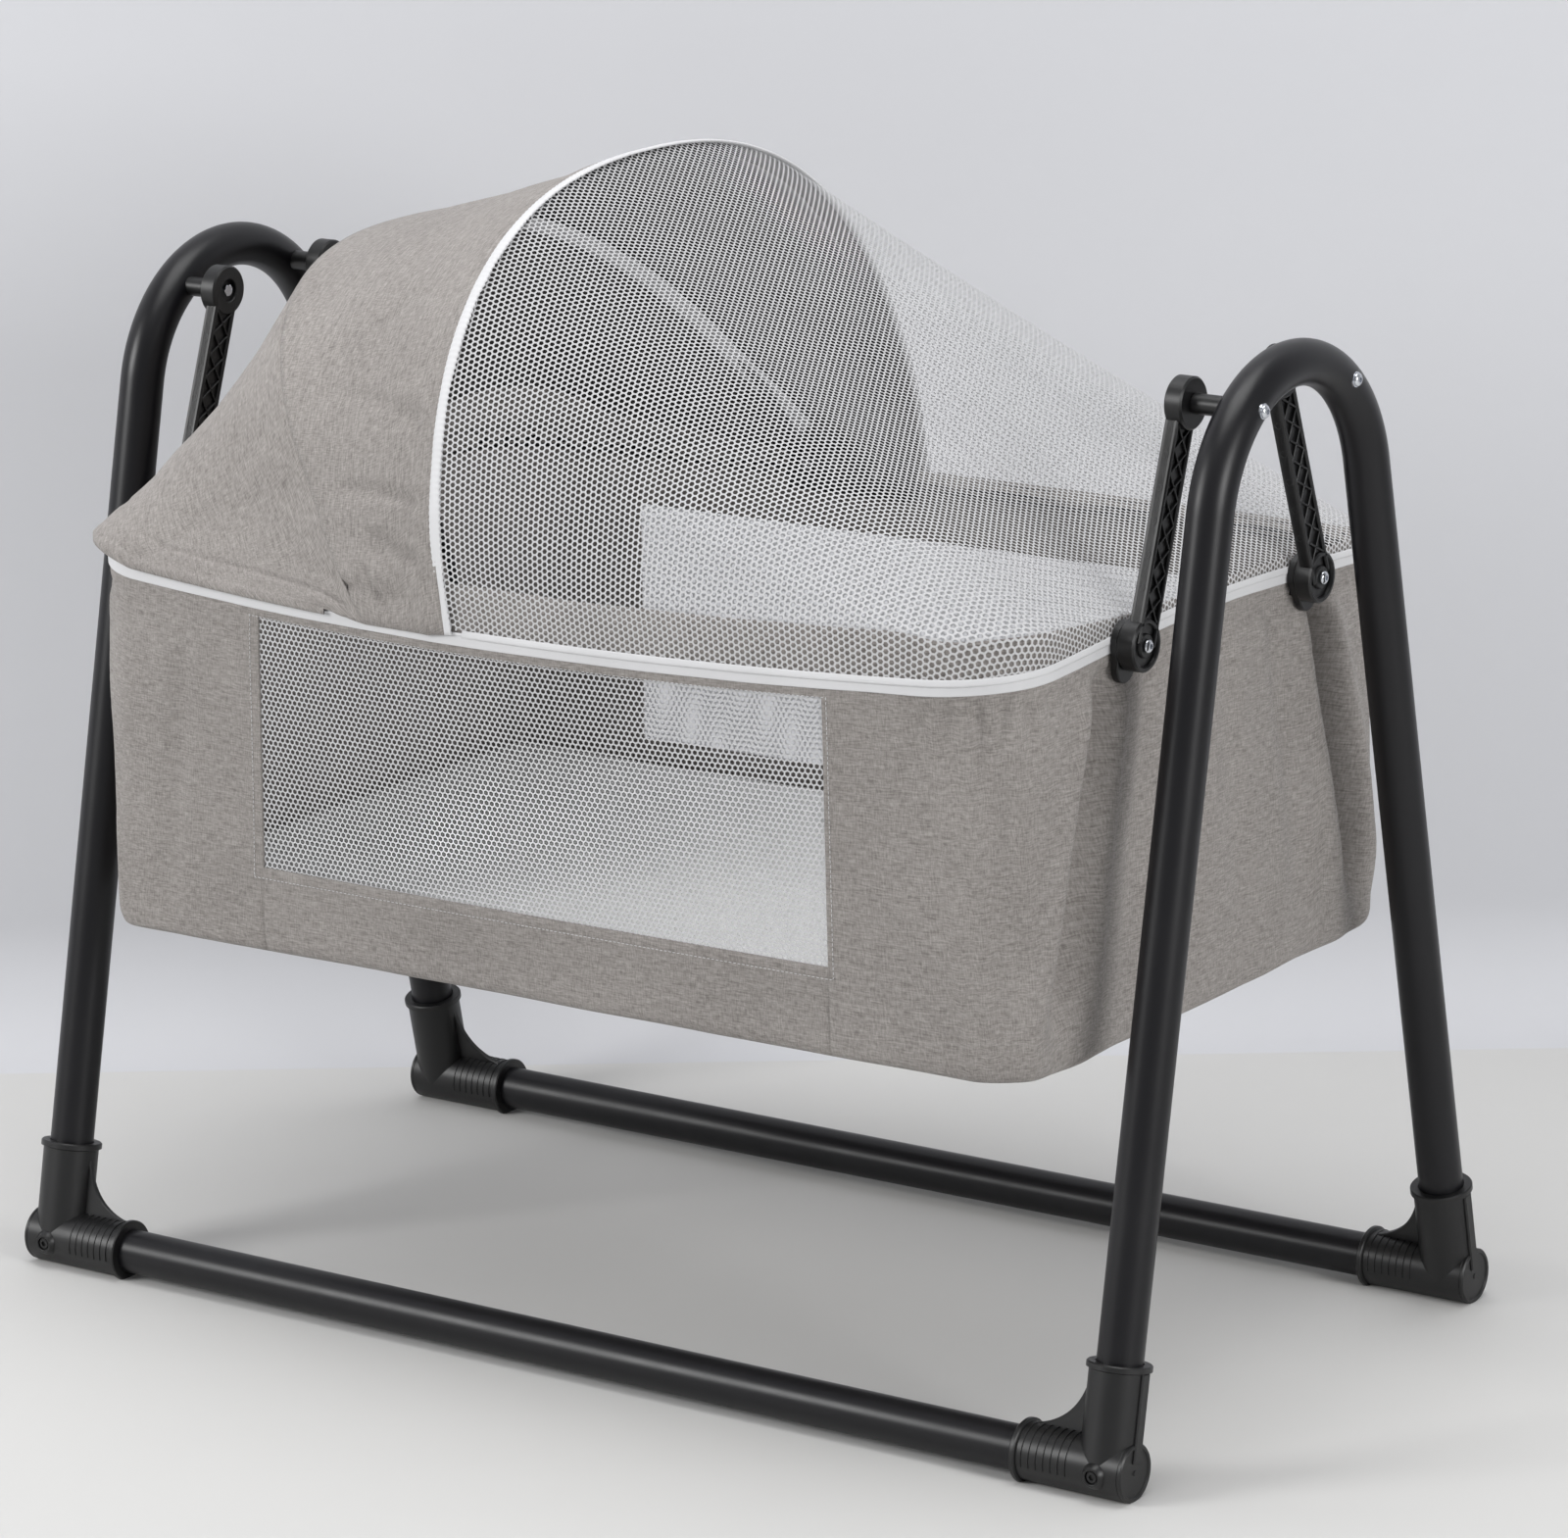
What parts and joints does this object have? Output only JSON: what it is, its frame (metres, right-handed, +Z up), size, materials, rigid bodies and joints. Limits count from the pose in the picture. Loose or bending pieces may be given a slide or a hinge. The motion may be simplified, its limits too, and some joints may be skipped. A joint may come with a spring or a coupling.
{
  "type": "bedside crib",
  "caption": "Swinging bedside crib: a fabric basket with a folding hood and net cover, hung by four swing arms between two arched tube end frames on floor rails.",
  "frame": {"origin": "centre of the footprint on the floor, under the middle of the basket", "axes": "+X along the basket from the hooded head end to the foot end, +Y across to the far side, +Z up"},
  "size_m": [1.1318, 0.7028, 0.9829],
  "materials": {
    "powder_coated_steel": "satin black powder coat",
    "black_plastic": "moulded black plastic, semi-gloss",
    "zinc_steel": "bright zinc-plated steel",
    "grey_fabric": "woven grey-beige melange fabric",
    "white_tape": "white zip tape and binding",
    "white_net": "white knitted net with staggered holes",
    "white_cover": "white quilted mattress cover",
    "board": "raw fibreboard"
  },
  "bodies": {
    "stand": {"end_frame_head": "powder_coated_steel", "end_frame_foot": "powder_coated_steel", "base_rail_near": "powder_coated_steel", "base_rail_far": "powder_coated_steel", "corner_fitting_head_near": "black_plastic", "corner_fitting_head_far": "black_plastic", "corner_fitting_foot_near": "black_plastic", "corner_fitting_foot_far": "black_plastic", "corner_screw_head_near": "zinc_steel", "corner_screw_head_far": "zinc_steel", "corner_screw_foot_near": "zinc_steel", "corner_screw_foot_far": "zinc_steel", "pivot_spacer_head_near": "black_plastic", "pivot_spacer_head_far": "black_plastic", "pivot_spacer_foot_near": "black_plastic", "pivot_spacer_foot_far": "black_plastic", "upper_bolt_head_near": "zinc_steel", "upper_bolt_head_far": "zinc_steel", "upper_bolt_foot_near": "zinc_steel", "upper_bolt_foot_far": "zinc_steel", "upper_nut_head_near": "zinc_steel", "upper_nut_head_far": "zinc_steel", "upper_nut_foot_near": "zinc_steel", "upper_nut_foot_far": "zinc_steel"},
    "arm_foot_near": {"swing_arm_foot_near": "black_plastic"},
    "arm_foot_far": {"swing_arm_foot_far": "black_plastic"},
    "arm_head_near": {"swing_arm_head_near": "black_plastic"},
    "arm_head_far": {"swing_arm_head_far": "black_plastic"},
    "basket": {"lower_bolt_head_near": "zinc_steel", "lower_bolt_head_far": "zinc_steel", "lower_bolt_foot_near": "zinc_steel", "lower_bolt_foot_far": "zinc_steel", "rim_bracket_head_near": "black_plastic", "rim_bracket_head_far": "black_plastic", "rim_bracket_foot_near": "black_plastic", "rim_bracket_foot_far": "black_plastic", "rim_tube": "powder_coated_steel", "rim_band": "white_tape", "basket_shell": "grey_fabric", "window_net_near": "white_net", "window_net_far": "white_net", "base_board": "board", "mattress": "white_cover", "bow_bracket_near": "black_plastic", "bow_bracket_far": "black_plastic", "front_bow_pin_near": "zinc_steel", "front_bow_pin_far": "zinc_steel", "rear_bow_pin_near": "zinc_steel", "rear_bow_pin_far": "zinc_steel", "rear_bow": "powder_coated_steel", "hood_front_panel": "grey_fabric", "hood_rear_panel": "grey_fabric", "net_cover": "white_net"},
    "hood_front": {"front_bow": "powder_coated_steel"}
  },
  "joints": [
    {"name": "cradle_swing", "type": "hinge", "parent": "stand", "child": "arm_foot_near", "pos_m": [0.48735, -0.073, 0.8383], "axis": [1, 0, 0], "range_deg": [-12, 12]},
    {"name": "arm_foot_far_swing", "type": "hinge", "parent": "stand", "child": "arm_foot_far", "pos_m": [0.48735, 0.073, 0.8383], "axis": [1, 0, 0], "range_deg": [-12, 12]},
    {"name": "arm_head_near_swing", "type": "hinge", "parent": "stand", "child": "arm_head_near", "pos_m": [-0.48735, -0.073, 0.8383], "axis": [1, 0, 0], "range_deg": [-12, 12]},
    {"name": "arm_head_far_swing", "type": "hinge", "parent": "stand", "child": "arm_head_far", "pos_m": [-0.48735, 0.073, 0.8383], "axis": [1, 0, 0], "range_deg": [-12, 12]},
    {"name": "basket_hang", "type": "hinge", "parent": "arm_foot_near", "child": "basket", "pos_m": [0.483, -0.138, 0.65499], "axis": [1, 0, 0], "range_deg": [-7, 7]},
    {"name": "hood_fold", "type": "hinge", "parent": "basket", "child": "hood_front", "pos_m": [-0.058, 0, 0.65199], "axis": [0, 1, 0], "range_deg": [-26, 0], "deforming": ["hood_front_panel", "net_cover"]}
  ],
  "couplings": [
    {"joint": "arm_foot_far_swing", "follows": "cradle_swing", "ratio": 1},
    {"joint": "arm_head_near_swing", "follows": "cradle_swing", "ratio": 1},
    {"joint": "arm_head_far_swing", "follows": "cradle_swing", "ratio": 1},
    {"joint": "basket_hang", "follows": "cradle_swing", "ratio": -0.529}
  ]
}
